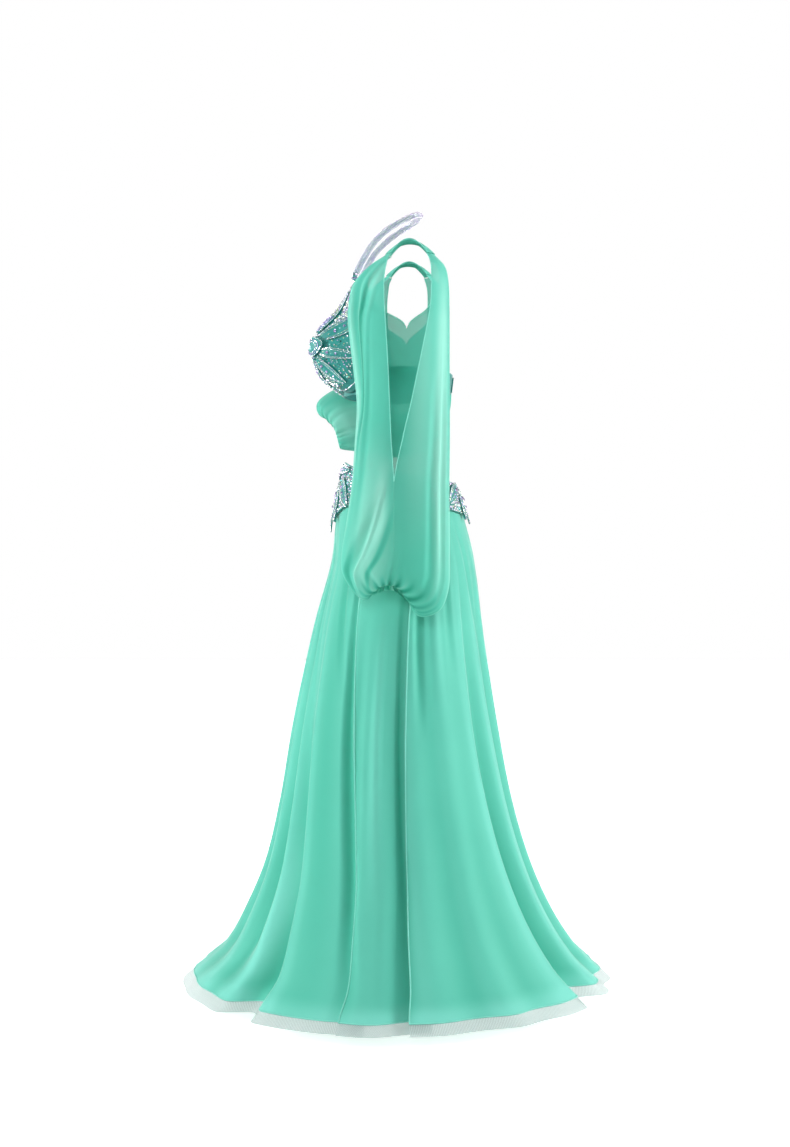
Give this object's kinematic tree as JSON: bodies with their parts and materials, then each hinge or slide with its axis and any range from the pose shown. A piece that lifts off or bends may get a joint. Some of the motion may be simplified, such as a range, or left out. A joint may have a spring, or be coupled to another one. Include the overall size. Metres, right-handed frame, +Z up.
{
  "type": "belly dance dress",
  "caption": "Two-piece belly dance costume in its worn form: jewelled halter bra with open-shoulder chiffon bishop sleeves, and a floor-length panelled chiffon skirt under a jewelled hip belt",
  "frame": {"origin": "the centre of the waist, level with the top of the belt's front, where the wearer holds the costume", "axes": "+Z up, -Y towards the wearer's front, +X towards the wearer's left"},
  "size_m": [0.8202, 0.7626, 1.375],
  "materials": {
    "chiffon": "semi-sheer matt with a soft sheen",
    "satin": "satin",
    "braid": "translucent stiff mesh",
    "crystal": "cut stones with a rainbow coating, on net"
  },
  "bodies": {
    "root": {"back_hook": "satin", "band_left": "satin", "band_right": "satin", "belt_back": "satin", "belt_back_leaf_1": "crystal", "belt_back_leaf_2": "crystal", "belt_back_leaf_3": "crystal", "belt_back_leaf_4": "crystal", "belt_back_leaf_5": "crystal", "belt_boss_1": "crystal", "belt_boss_2": "crystal", "belt_boss_3": "crystal", "belt_front": "satin", "belt_front_leaf_1": "crystal", "belt_front_leaf_2": "crystal", "belt_front_leaf_3": "crystal", "belt_front_leaf_4": "crystal", "belt_front_leaf_5": "crystal", "belt_front_leaf_6": "crystal", "belt_front_leaf_7": "crystal", "cuff_left": "chiffon", "cuff_right": "chiffon", "cup_boss_left": "crystal", "cup_boss_right": "crystal", "cup_leaf_left_1": "crystal", "cup_leaf_left_2": "crystal", "cup_leaf_left_3": "crystal", "cup_leaf_left_4": "crystal", "cup_leaf_left_5": "crystal", "cup_leaf_left_6": "crystal", "cup_leaf_right_1": "crystal", "cup_leaf_right_2": "crystal", "cup_leaf_right_3": "crystal", "cup_leaf_right_4": "crystal", "cup_leaf_right_5": "crystal", "cup_leaf_right_6": "crystal", "cup_left": "satin", "cup_right": "satin", "gore": "satin", "halter_link_left": "crystal", "halter_link_right": "crystal", "halter_rope": "crystal", "hem_braid_back": "braid", "hem_braid_front": "braid", "hem_braid_side_left": "braid", "hem_braid_side_right": "braid", "shoulder_roll_left": "chiffon", "shoulder_roll_right": "chiffon", "skirt_back": "chiffon", "skirt_front": "chiffon", "skirt_side_left": "chiffon", "skirt_side_right": "chiffon", "sleeve_back_left": "chiffon", "sleeve_back_right": "chiffon", "sleeve_front_left": "chiffon", "sleeve_front_right": "chiffon"}
  },
  "joints": []
}
